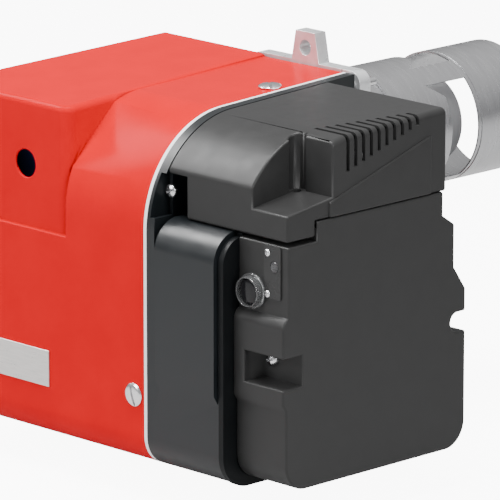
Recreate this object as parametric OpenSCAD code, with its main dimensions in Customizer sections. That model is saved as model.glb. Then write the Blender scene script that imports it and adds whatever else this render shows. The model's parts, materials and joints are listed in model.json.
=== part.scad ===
// Light-oil burner with a blast tube, a boiler flange, a red hood and a dark air intake box.
// X runs to the right seen from behind, Y towards the boiler, Z up. The origin is on the
// blast tube's axis, in the face of the flange that meets the boiler.

/* [Blast tube] */
// Outer diameter of the blast tube
tube_d = 125; // [120:0.5:130]
// Wall of the blast tube
tube_wall = 1.5; // [1:0.1:2.5]
// Distance from the flange face to the tube's rear lip
tube_start = 48; // [40:1:60]
// Distance from the flange face to the tube's open end
tube_end = 231; // [210:1:260]
// Distance from the flange face to the rear edge of the windows
window_start = 118; // [100:1:125]
// Length of a window along the tube
window_len = 36; // [20:1:45]
// Width of the bridge between two windows, in degrees
window_bridge = 21.4; // [14:0.2:40]
// Outer diameter of the sleeve inside the tube
sleeve_d = 85; // [80:0.5:95]
// Diameter of the turbulator disc
disc_d = 76; // [66:1:78]

/* [Boiler flange] */
// Width of the flange plate
flange_w = 142; // [138:1:160]
// Height of the flange plate
flange_h = 158; // [154:1:170]
// Thickness of the flange plate
flange_t = 14; // [8:1:16]
// Distance across between the fixing screws
bolt_dx = 118; // [114:1:122]
// Distance up between the fixing screws
bolt_dz = 130; // [126:1:134]
// Diameter of the fixing screws
bolt_d = 8; // [6:1:10]
// Height of the lug over the plate
lug_h = 28; // [24:1:34]
// Diameter of the hole in the lug
lug_hole_d = 14.5; // [8:0.5:16]

/* [Hood] */
// Distance from the tube's axis to the hood's left side, at the rear
hood_left = 213; // [205:1:240]
// Distance from the flange face to the hood's rear face
hood_depth = 270; // [268:1:300]
// Distance from the tube's axis down to the hood's bottom
hood_down = 248; // [240:1:270]
// Radius of the rounded top rear edge
case_r = 100; // [96:1:104]
// Wall of the hood
hood_wall = 2.5; // [2:0.1:4]
// Diameter of the finger hole
finger_hole_d = 26; // [22:1:32]

/* [Fan and motor] */
// Outer diameter of the fan wheel
fan_d = 156; // [140:1:160]
// Width of the fan wheel
fan_w = 52; // [40:1:56]
// Number of fan blades
blade_count = 36; // [24:1:48]
// Diameter of the motor's body
motor_d = 108; // [90:1:110]
// Diameter of the motor's shaft
shaft_d = 12; // [10:0.5:14]

/* [Air box] */
// Distance from the tube's axis to the air box's right side
box_right = 219; // [215:1:230]
// Wall of the air box and the cap
box_wall = 3; // [2:0.1:4]
// Number of vent slots in the cap
vent_count = 10; // [6:1:10]
// Distance between two vent slots
vent_pitch = 9.8; // [8:0.1:10]
// Width of a vent slot
vent_w = 3.9; // [3:0.1:5]

/* [Hidden] */
$fn = 48;

// clearances
seat_gap = 0.3;
running_gap = 0.05;
press_gap = 0.02;

// hood and the profile that hood, gasket, housing and cap share
seam_x = 53;
gasket_t = 4;
ring_x0 = seam_x + gasket_t;
ring_x1 = 67;
rear_y = -hood_depth;
case_cy = rear_y + case_r;
case_top = 71;
case_cz = case_top - case_r;
top_slope = 0.0431;
bottom_z = -hood_down;
bottom_r = 30;
hood_front_y = -flange_t - 3;
top_angle = atan(top_slope);
case_top_front = case_cz + case_r / cos(top_angle) + top_slope * (hood_front_y - case_cy);

// blast tube and neck
tube_r = tube_d / 2;
neck_r = tube_r - tube_wall - seat_gap;
neck_wall = 2;
neck_over = 12;
head_recess_r = 8;
lip_t = 3;
lip_w = 1.2;
window_end = window_start + window_len;
window_turn = 46.2 - (120 - window_bridge) / 2;
notch_len = 18;
notch_w = 15;
groove_gap = 2.5;
groove_w = 2.5;
groove_deep = 0.6;
sleeve_wall = 1.5;
sleeve_start = tube_start + neck_over + seat_gap;
sleeve_end = window_end - 2;

// flange
flange_corner_r = 12;
lug_top_w = 25;
lug_foot_w = 36;
lug_hole_z = flange_h / 2 + lug_h - 15;
screw_head_d = 13;
screw_head_h = 7;
stud_len = 16;
shank_relief = 0.25;

// air duct behind the flange
duct_wall = 3;
duct_left = -66;
duct_half_h = 66;
duct_chamfer = 22;
duct_rear = -92;
duct_port_y0 = duct_rear + duct_wall;
duct_port_y1 = -23;
duct_port_z0 = -40;
duct_port_z1 = 16;

// fan
fan_y = -145;
fan_z = -98;
fan_r = fan_d / 2;
fan_x0 = 64;
fan_x1 = fan_x0 + fan_w;
fan_plate_t = 2;
hub_r = 15;
blade_depth = 15;
scroll_x0 = ring_x0 + 3;
scroll_x1 = fan_x1 + 6;
scroll_gap = 6;
scroll_growth = 30;
scroll_tongue = 35;
scroll_wall = 4;
scroll_top = fan_z + fan_r + scroll_gap + scroll_growth * 0.85 + scroll_wall;
eye_r = 57;
housing_wall = 4;
back_wall = 3;
intake_x1 = 150;
plate_x1 = intake_x1 + 6;

// motor
motor_r = motor_d / 2;
shaft_r = shaft_d / 2;
motor_x0 = -85;
motor_x1 = 38;
bracket_x1 = ring_x0;
end_cap_x0 = motor_x0 - 17;
bearing_r = 16;
bearing_w = 10;
rotor_r = 27;
stator_wall = 3;
fin_count = 24;
fin_h = 4;

// pump
pump_r = 32;
coupling_x1 = end_cap_x0 - 2;
coupling_x0 = coupling_x1 - 20;
pump_x1 = coupling_x0 - 4;
pump_x0 = pump_x1 - 50;
pump_port_r = 5.7;
pump_port_len = 12;
carrier_r = 30;
pump_shaft_r = 4;
coil_r = 15;
coil_h = 34;
pipe_r = 3;
pipe_y = -125;
pipe_bend = 10;
union_r = 8;

// nozzle line and electrodes
line_r = 5;
line_rear = -118;
line_front = 84;
line_head_r = 9;
disc_y = window_start + 8;
nozzle_y = disc_y - 22;
insulator_r = 4;
insulator_x = 12;
insulator_z = 17;
insulator_y0 = 42;
insulator_y1 = disc_y - 8;
electrode_r = 1.25;
lead_r = 3;
lead_socket_r = 4.2;
sensor_x = -34;
sensor_z = -22;
head_travel = 8;

// components on the tray
tray_z = -37;
tray_t = 2;
trafo_x0 = -48;
trafo_x1 = 45;
trafo_y0 = -236;
trafo_y1 = -138;
trafo_top = 30;
control_x0 = -152;
control_x1 = -62;
control_y0 = -240;
control_y1 = -146;
control_top = 44;
finger_x = -107;
finger_z = 6;
control_button_r = 8;
button_travel = 3;

// upper left part of the hood
crown_right = -50;
crown_rear = rear_y + 4;
crown_z0 = -52;
crown_r = 12;
crown_top_rear = 66.4;
crown_slope = 0.0525;
crown_top_front = crown_top_rear + crown_slope * (hood_front_y - crown_rear);
hood_draft = 29;
slot_half_h = 73;
hood_screw_x = 40;
hood_screw_z = -182;
hood_screw_y = -99;
hood_screw_r = 11;
badge_w = 100;
badge_h = 34;
badge_x = -122;
badge_z = -180;

// fan housing, bulge and recess
bulge_x0 = 73;
bulge_x1 = 148;
bulge_out = 5;
bulge_top = -15;
bulge_bottom = -162;
bulge_r = 28;
bulge_step = 10;
bulge_y1 = rear_y + 30;
roll_y = rear_y - bulge_out + bulge_r;
roll_z = bulge_top - bulge_r;
housing_split_z = bulge_top - 2;
recess_x0 = 61;
recess_x1 = 90;
recess_y = -247;
recess_z1 = 24;
recess_screw_x = 66.6;
recess_screw_z = 7;
case_screw_r = 6.5;

// air box
box_x0 = plate_x1;
box_upper_rear = rear_y + 18;
box_lower_rear = rear_y + 11;
box_top = 0;
box_rear_top = -18;
box_block_top = -80;
box_block_r = 12;
box_step_z = -160;
box_step = 4;
box_bottom = -241;
box_bottom_r = 25;
box_front = -27;
box_front_mid = -42;
box_front_top = -57;
box_corner_r = 6;
notch_z = -124;
notch_r = 9;
corner_slot_z0 = -146;
corner_slot_z1 = -118;
corner_slot_x0 = 170;
corner_slot_depth = 24;
foam_t = 8;
foam_edge = 60;
foam_foot = 40;

// cap
cap_x0 = ring_x1;
cap_right = box_right - 2;
cap_rear = rear_y + 18;
cap_front = -52;
cap_rear_z = -14;
cap_side_z = box_top + seat_gap;
cap_side_y = -217;
pocket_x0 = 173;
pocket_y1 = -196;
pocket_z = 9;
pocket_slope = 0.16;
pocket_hole_x = 178;
pocket_groove_r = 8;
ledge_out = 2;
ledge_z0 = 14.3;
ledge_y0 = -201;
ledge_slope = 0.312;
ledge_y1 = -72;
vent_y0 = -177;
vent_top_x = 176.5;
vent_top_step = 2.93;
vent_foot_z = 38.4;

// damper
flap_w = 88;
flap_h = 44;
flap_t = 2;
flap_y = fan_y;
flap_z = -66;
flap_x = plate_x1 + 5;
flap_shaft_r = 3;
port_margin = 4;
quadrant_r = 15;
quadrant_y = flap_y - flap_w / 2 - 16;
ram_x = flap_x + quadrant_r + seat_gap + 3;
ram_body_r = 11;
ram_rod_r = 3;
ram_z1 = -118;
ram_z0 = -168;

// panel on the air box
panel_x0 = 189.5;
panel_x1 = 210;
panel_z0 = -67;
panel_z1 = -19;
panel_t = 1.5;
panel_screw_x = 194.2;
panel_screw_z0 = -63;
panel_screw_z1 = -25.8;
lens_x = 202.4;
lens_z = -37.6;
knob_x = 174.5;
knob_z = -64;
knob_r = 16;
knob_button_r = 12;
knob_h = 9;

module along_x(x0, x1) {
  translate([x0, 0, 0]) rotate([90, 0, 90]) linear_extrude(x1 - x0) children();
}

module along_y(y0, y1) {
  translate([0, y1, 0]) rotate([90, 0, 0]) linear_extrude(y1 - y0) children();
}

module rod_x(x0, x1, y, z, r) {
  translate([x0, y, z]) rotate([0, 90, 0]) cylinder(h = x1 - x0, r = r);
}

module rod_y(y0, y1, x, z, r) {
  translate([x, y0, z]) rotate([-90, 0, 0]) cylinder(h = y1 - y0, r = r);
}

module rod_z(z0, z1, x, y, r) {
  translate([x, y, z0]) cylinder(h = z1 - z0, r = r);
}

module block(low, high) {
  translate(low) cube(high - low);
}

module round_rect(low, high, r) {
  translate([low[0] + r, low[1]]) square([high[0] - low[0] - 2 * r, high[1] - low[1]]);
  translate([low[0], low[1] + r]) square([high[0] - low[0], high[1] - low[1] - 2 * r]);
  for (x = [low[0] + r, high[0] - r], y = [low[1] + r, high[1] - r])
    translate([x, y]) circle(r);
}

// side view of the case: straight rear, big rounded top rear edge and sloping top
module case_profile(inset) {
  r = case_r - inset;
  translate([case_cy, case_cz]) circle(r, $fn = 96);
  translate([rear_y + bottom_r, bottom_z + bottom_r]) circle(bottom_r - inset);
  polygon([
    [rear_y + inset, bottom_z + bottom_r],
    [rear_y + bottom_r, bottom_z + bottom_r],
    [rear_y + bottom_r, bottom_z + inset],
    [hood_front_y - inset, bottom_z + inset],
    [hood_front_y - inset, case_top_front - inset],
    [case_cy - (r - 0.05) * sin(top_angle), case_cz + (r - 0.05) * cos(top_angle)],
    [case_cy, case_cz],
    [rear_y + inset, case_cz]
  ]);
}

// piece of pipe around the tube's axis
module pipe_y(y0, y1, r, wall) {
  difference() {
    rod_y(y0, y1, 0, 0, r);
    rod_y(y0 - 1, y1 + 1, 0, 0, r - wall);
  }
}

module flange_points() {
  for (x = [-1, 1], z = [-1, 1])
    translate([x * bolt_dx / 2, 0, z * bolt_dz / 2]) children();
}

module boiler_flange() {
  color("lightgray") difference() {
    union() {
      along_y(-flange_t, 0)
        round_rect([-flange_w / 2, -flange_h / 2], [flange_w / 2, flange_h / 2], flange_corner_r);
      along_y(-flange_t, 0) polygon([
        [-lug_foot_w / 2, flange_h / 2 - 1], [lug_foot_w / 2, flange_h / 2 - 1],
        [lug_top_w / 2, flange_h / 2 + lug_h], [-lug_top_w / 2, flange_h / 2 + lug_h]
      ]);
    }
    rod_y(-flange_t - 1, 1, 0, 0, neck_r + seat_gap);
    rod_y(-flange_t - 1, 1, 0, lug_hole_z, lug_hole_d / 2);
    flange_points() rod_y(-flange_t - 1, 1, 0, 0, bolt_d / 2 + 0.3);
  }
}

module flange_screws() {
  color("silver") flange_points() difference() {
    union() {
      rod_y(-flange_t, 0, 0, 0, bolt_d / 2 - shank_relief);
      rod_y(0, stud_len, 0, 0, bolt_d / 2);
      rod_y(-flange_t - screw_head_h, -flange_t, 0, 0, screw_head_d / 2);
    }
    rod_y(-flange_t - screw_head_h - 1, -flange_t - 3, 0, 0, 3);
  }
}

module tube_neck() {
  color("silver") pipe_y(-flange_t, tube_start + neck_over, neck_r, neck_wall);
}

module blast_tube() {
  half = (120 - window_bridge) / 2;
  color("silver") difference() {
    union() {
      pipe_y(tube_start, tube_end, tube_r, tube_wall);
      pipe_y(tube_start, tube_start + lip_t, tube_r + lip_w, tube_wall + lip_w);
    }
    // groove between the windowed part and the plain mouth
    pipe_y(window_end + groove_gap, window_end + groove_gap + groove_w, tube_r + 2, 2 + groove_deep);
    for (k = [0 : 2]) rotate([0, -(window_turn + 120 * k), 0]) {
      along_y(window_start, window_end) polygon([
        tube_r / 2 * [cos(half), -sin(half)], 2 * tube_r * [cos(half), -sin(half)],
        [2.5 * tube_r, 0], 2 * tube_r * [cos(half), sin(half)], tube_r / 2 * [cos(half), sin(half)]
      ]);
      for (side = [-1, 1]) rotate([0, side * half, 0])
        along_x(tube_r - 12, tube_r + 2) polygon([
          [window_start - notch_len, 0], [window_start + 2, side * 0.6],
          [window_start + 2, side * notch_w * (1 + 2 / notch_len)]
        ]);
    }
  }
}

module inner_sleeve() {
  color("darkgray") {
    pipe_y(sleeve_start, sleeve_end, sleeve_d / 2, sleeve_wall);
    pipe_y(sleeve_start, sleeve_start + 2, tube_r - tube_wall - seat_gap, tube_r - tube_wall - sleeve_d / 2);
  }
}

module duct_shape(inset) {
  w0 = duct_left + inset;
  w1 = ring_x0 - inset;
  h = duct_half_h - inset;
  c = duct_chamfer - inset / 2;
  polygon([
    [w0, -h + c], [w0 + c, -h], [w1 - c, -h], [w1, -h + c],
    [w1, h - c], [w1 - c, h], [w0 + c, h], [w0, h - c]
  ]);
}

module air_duct() {
  color("dimgray") difference() {
    along_y(duct_rear, -flange_t) duct_shape(0);
    along_y(duct_port_y0, -flange_t - duct_wall) duct_shape(duct_wall);
    block([0, duct_port_y0, duct_port_z0], [ring_x0 + 1, duct_port_y1, duct_port_z1]);
    rod_y(-flange_t - duct_wall - 1, 0, 0, 0, neck_r - neck_wall);
    rod_y(duct_rear - 1, duct_port_y0 + 1, 0, 0, 10);
    for (x = [-1, 1]) rod_y(duct_rear - 1, duct_port_y0 + 1, x * insulator_x, insulator_z, 5);
    rod_y(duct_rear - 1, duct_port_y0 + 1, sensor_x, sensor_z, 6.3);
  }
}

module line_gland() {
  color("goldenrod") difference() {
    union() {
      rod_y(duct_rear - 6, duct_port_y0 + 4, 0, 0, 10 - seat_gap);
      rod_y(duct_rear - 6, duct_rear, 0, 0, 11.5);
    }
    rod_y(duct_rear - 7, duct_port_y0 + 5, 0, 0, line_r + running_gap);
  }
}

module nozzle_holder() {
  color("silver") {
    rod_y(line_rear, line_front, 0, 0, line_r);
    rod_y(line_front, nozzle_y, 0, 0, line_head_r);
  }
}

module nozzle() {
  color("goldenrod") {
    translate([0, nozzle_y, 0]) rotate([-90, 0, 0]) cylinder(h = 8, r = 8, $fn = 6);
    translate([0, nozzle_y + 8, 0]) rotate([-90, 0, 0]) cylinder(h = 8, r1 = 6.5, r2 = 3);
  }
}

module electrode_insulators() {
  color("white") for (x = [-1, 1]) difference() {
    union() {
      rod_y(insulator_y0, insulator_y1, x * insulator_x, insulator_z, insulator_r);
      rod_y(insulator_y0 + 10, insulator_y0 + 16, x * insulator_x, insulator_z, insulator_r + 1.5);
    }
    rod_y(insulator_y0 - 1, insulator_y1 + 1, x * insulator_x, insulator_z, electrode_r + seat_gap);
  }
}

module electrode_rods() {
  tip_y = insulator_y1 + 12;
  color("gray") for (x = [-1, 1]) {
    rod_y(insulator_y0 + 2, tip_y, x * insulator_x, insulator_z, electrode_r);
    translate([x * insulator_x, tip_y, insulator_z]) sphere(electrode_r, $fn = 24);
    translate([x * insulator_x, tip_y, insulator_z]) rotate([0, -x * 60, 0])
      cylinder(h = 10, r = electrode_r);
  }
}

module electrode_clamp() {
  y0 = line_front + 1;
  color("silver") difference() {
    union() {
      block([-insulator_x - 7, y0, 0], [insulator_x + 7, y0 + 8, insulator_z + 7]);
      rod_y(y0, y0 + 8, 0, 0, line_head_r + 3);
    }
    rod_y(y0 - 1, y0 + 9, 0, 0, line_head_r + seat_gap);
    for (x = [-1, 1])
      rod_y(y0 - 1, y0 + 9, x * insulator_x, insulator_z, insulator_r + seat_gap);
  }
}

module diffuser_disc() {
  slots = 8;
  leg_r = 30;
  collar_y = line_front + 11;
  color("darkgray") {
    difference() {
      rod_y(disc_y, disc_y + 2, 0, 0, disc_d / 2);
      rod_y(disc_y - 1, disc_y + 3, 0, 0, 11);
      for (k = [0 : slots - 1]) rotate([0, k * 360 / slots + 22.5, 0])
        block([22, disc_y - 1, -1.5], [disc_d / 2 - 4, disc_y + 3, 1.5]);
      for (x = [-1, 1]) rod_y(disc_y - 1, disc_y + 3, x * insulator_x, insulator_z, 4);
    }
    for (a = [90, -30, -150]) rotate([0, a, 0]) {
      block([leg_r - 2, collar_y, -3], [leg_r, disc_y + 1, 3]);
      block([line_head_r + 1, collar_y, -3], [leg_r - 1, collar_y + 2, 3]);
    }
    difference() {
      rod_y(collar_y, collar_y + 6, 0, 0, line_head_r + 3);
      rod_y(collar_y - 1, collar_y + 7, 0, 0, line_head_r + press_gap);
    }
  }
}

module ht_leads() {
  socket = trafo_y1 - 10;
  boot = insulator_y0 - 8;
  color("dimgray") for (x = [-1, 1]) difference() {
    union() {
      rod_y(socket, boot + 1, x * insulator_x, insulator_z, lead_r);
      rod_y(boot, insulator_y0 + 8, x * insulator_x, insulator_z, insulator_r + 2);
    }
    rod_y(insulator_y0 - seat_gap, insulator_y0 + 9, x * insulator_x, insulator_z,
          insulator_r + seat_gap);
  }
}

module flame_sensor() {
  color("black") {
    rod_y(duct_rear - 12, duct_port_y0 + 8, sensor_x, sensor_z, 6);
    rod_y(duct_rear - 12, duct_rear - seat_gap, sensor_x, sensor_z, 9);
    rod_y(duct_port_y0 + 7, duct_port_y0 + 12, sensor_x, sensor_z, 4.5);
  }
}

module ignition_transformer() {
  color("dimgray") difference() {
    union() {
      block([trafo_x0, trafo_y0, tray_z + seat_gap], [trafo_x1, trafo_y1 - 14, trafo_top]);
      for (x = [-1, 1]) rod_y(trafo_y1 - 14, trafo_y1, x * insulator_x, insulator_z, 8);
    }
    for (x = [-1, 1]) rod_y(trafo_y1 - 12, trafo_y1 + 1, x * insulator_x, insulator_z, lead_socket_r);
  }
}

module control_box() {
  color("royalblue") difference() {
    block([control_x0, control_y0, tray_z + seat_gap], [control_x1, control_y1, control_top]);
    rod_y(control_y0 - 1, control_y0 + 10, finger_x, finger_z, control_button_r + 0.4);
  }
}

module control_button() {
  color("firebrick") {
    rod_y(control_y0 - 4, control_y0 + 10 - button_travel - 0.6, finger_x, finger_z, control_button_r);
    rod_y(control_y0 - 5, control_y0 - 4, finger_x, finger_z, control_button_r - 1);
  }
}

module control_plug() {
  color("black") {
    block([control_x0 + 14, control_y1 + seat_gap, tray_z + 12],
          [control_x1 - 14, control_y1 + 14, tray_z + 40]);
    for (k = [0 : 6])
      rod_z(tray_z + 39, tray_z + 44, control_x0 + 21 + k * 8, control_y1 + 7, 2.5);
  }
}

module component_tray() {
  color("silver") difference() {
    union() {
      block([control_x0 - 4, trafo_y0 - 4, tray_z - tray_t], [ring_x0, duct_rear, tray_z]);
      block([ring_x0 - tray_t, trafo_y0 + 20, tray_z - tray_t], [ring_x0, duct_rear - 4, tray_z + 24]);
    }
    rod_z(tray_z - tray_t - 1, tray_z + 1, pump_x1 - 20, pipe_y, pipe_r + 2);
  }
}

module motor_body() {
  color("darkslategray") difference() {
    union() {
      rod_x(motor_x0, motor_x1, fan_y, fan_z, motor_r);
      for (k = [0 : fin_count - 1])
        if (abs(k * 360 / fin_count - 90) > 40 && abs(k * 360 / fin_count - 270) > 20)
          translate([0, fan_y, fan_z]) rotate([k * 360 / fin_count, 0, 0])
            block([motor_x0 + 6, motor_r - 1, -1], [motor_x1 - 6, motor_r + fin_h, 1]);
    }
    rod_x(motor_x0 - 1, motor_x1 + 1, fan_y, fan_z, motor_r - stator_wall);
  }
}

module motor_bracket() {
  color("gray") difference() {
    rod_x(motor_x1, bracket_x1, fan_y, fan_z, motor_r);
    rod_x(motor_x1 - 1, motor_x1 + 6, fan_y, fan_z, motor_r - 8);
    rod_x(motor_x1 - 1, motor_x1 + 6 + bearing_w, fan_y, fan_z, bearing_r + running_gap);
    rod_x(motor_x1 - 1, bracket_x1 + 1, fan_y, fan_z, shaft_r + 1);
  }
}

module motor_end_cap() {
  color("gray") difference() {
    rod_x(end_cap_x0, motor_x0, fan_y, fan_z, motor_r);
    rod_x(motor_x0 - 4, motor_x0 + 1, fan_y, fan_z, motor_r - 8);
    rod_x(motor_x0 - 4 - bearing_w, motor_x0 + 1, fan_y, fan_z, bearing_r + running_gap);
    rod_x(end_cap_x0 - 1, motor_x0 + 1, fan_y, fan_z, shaft_r + 1);
  }
}

module motor_stator() {
  color("peru") difference() {
    rod_x(motor_x0 + 16, motor_x1 - 16, fan_y, fan_z, motor_r - stator_wall - press_gap);
    rod_x(motor_x0 + 15, motor_x1 - 15, fan_y, fan_z, rotor_r + 0.5);
  }
}

module motor_rotor() {
  color("silver") difference() {
    rod_x(motor_x0 + 18, motor_x1 - 18, fan_y, fan_z, rotor_r);
    rod_x(motor_x0 + 17, motor_x1 - 17, fan_y, fan_z, shaft_r + press_gap);
  }
}

module motor_shaft() {
  color("silver") rod_x(coupling_x0 + 11, fan_x1 - 4, fan_y, fan_z, shaft_r);
}

module motor_bearings() {
  color("silver") for (x = [motor_x1 + 6, motor_x0 - 4 - bearing_w]) difference() {
    rod_x(x, x + bearing_w, fan_y, fan_z, bearing_r);
    rod_x(x - 1, x + bearing_w + 1, fan_y, fan_z, shaft_r + running_gap);
  }
}

module capacitor() {
  z = fan_z - motor_r - 17;
  color("lightgray") {
    rod_x(-60, 0, fan_y, z, 15);
    block([-40, fan_y - 10, z + 10], [-20, fan_y + 10, fan_z - motor_r - seat_gap]);
  }
}

// forward-curved blade: a thin arc between the inner and the outer radius
module blade_profile() {
  intersection() {
    difference() {
      circle(fan_r - 0.5, $fn = 96);
      circle(fan_r - blade_depth + 0.5, $fn = 96);
    }
    translate([fan_r - blade_depth, -blade_depth]) difference() {
      circle(blade_depth + 0.6);
      circle(blade_depth - 0.6);
    }
    translate([fan_r - blade_depth - 3, -blade_depth]) square([blade_depth + 4, blade_depth + 2]);
  }
}

module fan_wheel() {
  color("silver") translate([0, fan_y, fan_z]) {
    difference() {
      union() {
        rod_x(fan_x0, fan_x0 + fan_plate_t, 0, 0, fan_r);
        rod_x(fan_x0, fan_x0 + 26, 0, 0, hub_r);
      }
      rod_x(fan_x0 - 1, fan_x0 + 27, 0, 0, shaft_r + press_gap);
    }
    difference() {
      rod_x(fan_x1 - fan_plate_t, fan_x1, 0, 0, fan_r);
      rod_x(fan_x1 - fan_plate_t - 1, fan_x1 + 1, 0, 0, fan_r - blade_depth);
    }
    for (k = [0 : blade_count - 1]) rotate([k * 360 / blade_count, 0, 0])
      along_x(fan_x0 + fan_plate_t / 2, fan_x1 - fan_plate_t / 2) blade_profile();
  }
}

module fan_inlet_ring() {
  x = scroll_x1 + housing_wall;
  color("silver") difference() {
    union() {
      rod_x(x, x + 2, fan_y, fan_z, eye_r + 12);
      rod_x(fan_x1 + 2, x + 1, fan_y, fan_z, eye_r);
    }
    rod_x(fan_x1 + 1, x + 3, fan_y, fan_z, eye_r - 2);
  }
}

module pump_carrier() {
  color("gray") difference() {
    rod_x(pump_x1, end_cap_x0, fan_y, fan_z, carrier_r);
    rod_x(pump_x1 + 3, end_cap_x0 + 1, fan_y, fan_z, carrier_r - 5);
    rod_x(pump_x1 - 1, pump_x1 + 4, fan_y, fan_z, 12);
  }
}

module pump_coupling() {
  color("orange") difference() {
    rod_x(coupling_x0, coupling_x1, fan_y, fan_z, 14);
    rod_x(coupling_x0 + 10, coupling_x1 + 1, fan_y, fan_z, shaft_r + press_gap);
    rod_x(coupling_x0 - 1, coupling_x0 + 11, fan_y, fan_z, pump_shaft_r + press_gap);
  }
}

module pump_shaft() {
  color("silver") rod_x(pump_x1 - 22, coupling_x0 + 9, fan_y, fan_z, pump_shaft_r);
}

module oil_pump() {
  color("silver") difference() {
    union() {
      rod_x(pump_x0 + 12, pump_x1, fan_y, fan_z, pump_r);
      block([pump_x0, fan_y - 24, fan_z - 24], [pump_x0 + 14, fan_y + 24, fan_z + 24]);
      for (y = [-1, 1]) rod_z(fan_z - pump_r - 8, fan_z - 10, pump_x1 - 20, fan_y + y * 14, 9);
      rod_z(fan_z, fan_z + pump_r + 4, pump_x1 - 20, pipe_y, 8);
    }
    for (y = [-1, 1])
      rod_z(fan_z - pump_r - 9, fan_z - pump_r - 8 + pump_port_len, pump_x1 - 20, fan_y + y * 14,
            pump_port_r);
    rod_x(pump_x1 - 23, pump_x1 + 1, fan_y, fan_z, pump_shaft_r + running_gap);
  }
}

module solenoid_coil() {
  color("black")
    rod_y(fan_y - pump_r - coil_h, fan_y - pump_r - seat_gap, pump_x0 + coil_r + 2, fan_z, coil_r);
}

// quarter of a ring of pipe, bending from +Z towards +X
module pipe_elbow() {
  translate([pipe_bend, 0, 0]) rotate([90, 0, 0]) rotate_extrude(angle = 180)
    translate([pipe_bend, 0]) circle(pipe_r, $fn = 24);
}

module oil_pipe() {
  x0 = pump_x1 - 20;
  z0 = fan_z + pump_r + 4;
  color("peru") {
    rod_z(z0, z0 + 6, x0, pipe_y, 6);
    rod_z(z0, -pipe_bend, x0, pipe_y, pipe_r);
    rod_x(x0 + pipe_bend, 0, pipe_y, 0, pipe_r);
    intersection() {
      translate([x0, pipe_y, -pipe_bend]) pipe_elbow();
      block([x0 - pipe_r - 1, pipe_y - 5, -pipe_bend], [x0 + pipe_bend, pipe_y + 5, pipe_r + 1]);
    }
    difference() {
      rod_y(pipe_y - union_r, line_rear + 12, 0, 0, union_r);
      rod_y(line_rear - seat_gap, line_rear + 13, 0, 0, line_r + running_gap);
    }
  }
}

// spiral of the fan scroll, wider towards its outlet
function scroll_r(a) = fan_r + scroll_gap + scroll_growth * a / 360;
module scroll_profile(extra) {
  translate([fan_y, fan_z]) polygon(concat(
    [for (a = [0 : 6 : 306]) (scroll_r(a) + extra) * [cos(scroll_tongue - a), sin(scroll_tongue - a)]],
    [[duct_port_y1 - fan_y + extra, scroll_r(306) + extra],
     [duct_port_y1 - fan_y + extra, fan_r * sin(scroll_tongue) - extra]]
  ));
}

module fan_housing() {
  color("darkslategray") difference() {
    union() {
      along_x(ring_x0, ring_x0 + back_wall) case_profile(0);
      along_x(ring_x0, ring_x1) difference() {
        case_profile(0);
        case_profile(housing_wall);
      }
      along_x(ring_x1 - 1, intake_x1) difference() {
        body_profile(0);
        body_profile(housing_wall);
      }
      along_x(ring_x0, scroll_x1 + housing_wall) scroll_profile(scroll_wall);
      along_x(scroll_x1, scroll_x1 + housing_wall) body_profile(1);
      along_x(ring_x1 - housing_wall, ring_x1) difference() {
        case_profile(0);
        body_profile(0);
      }
      along_x(bulge_x0, bulge_x1) bulge_profile(0);
    }
    along_x(scroll_x0, scroll_x1) scroll_profile(0);
    along_x(bulge_x0 + housing_wall, bulge_x1 - housing_wall) difference() {
      bulge_profile(housing_wall);
      scroll_profile(scroll_wall);
    }
    block([ring_x0 - 1, duct_port_y0, duct_port_z0], [scroll_x0 + 1, duct_port_y1, duct_port_z1]);
    rod_x(ring_x0 - 1, scroll_x0 + 1, fan_y, fan_z, hub_r + 2);
    rod_x(scroll_x1 - 1, intake_x1 + 1, fan_y, fan_z, eye_r + seat_gap);
    block([recess_x0, rear_y - 1, bulge_top], [ring_x1 + 1, recess_y, recess_z1]);
    head_recess();
  }
}

// side view of the housing below its top edge
module body_profile(inset) {
  difference() {
    intersection() {
      case_profile(inset);
      translate([rear_y - 5, bottom_z - 5])
        square([hood_depth, housing_split_z - bottom_z + 5 - inset]);
    }
    roll_corner(roll_y - rear_y - inset);
  }
}

// what the big roll under the cap takes off the housing's top rear edge
module roll_corner(r) {
  difference() {
    translate([rear_y - 10, roll_z]) square([roll_y - rear_y + 10, 60]);
    translate([roll_y, roll_z]) circle(r);
  }
}

module head_recess() {
  flange_points() rod_y(-flange_t - screw_head_h - 2, 0, 0, 0, head_recess_r);
}

module bulge_profile(inset) {
  y0 = rear_y - bulge_out + inset;
  translate([roll_y, roll_z]) circle(bulge_r - inset);
  polygon([
    [y0, bulge_bottom + inset], [rear_y + 1 + inset, bulge_bottom - bulge_step + inset],
    [bulge_y1, bulge_bottom - bulge_step + inset], [bulge_y1, housing_split_z - inset],
    [roll_y, housing_split_z - inset], [roll_y, roll_z], [y0, roll_z]
  ]);
}

module joint_plate() {
  ram_y = quadrant_y + 3;
  color("black") difference() {
    union() {
      along_x(intake_x1, plate_x1) body_profile(-1);
      for (y = [quadrant_y + 10, flap_y + flap_w / 2 + 2])
        block([plate_x1 - 1, y, flap_z - 7], [flap_x + 6, y + 4, flap_z + 7]);
      block([plate_x1 - 1, ram_y - 5, ram_z0 + 8], [ram_x - ram_body_r + 3, ram_y + 5, ram_z1 - 8]);
    }
    block([intake_x1 - 1, flap_y - flap_w / 2 + port_margin, flap_z - flap_h + port_margin],
          [plate_x1 + 1, flap_y + flap_w / 2 - port_margin, flap_z - port_margin]);
    rod_y(quadrant_y, flap_y + flap_w / 2 + 20, flap_x, flap_z, flap_shaft_r + running_gap);
    rod_z(ram_z0 - 1, ram_z1 + 1, ram_x, ram_y, ram_body_r + seat_gap);
  }
}

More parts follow.
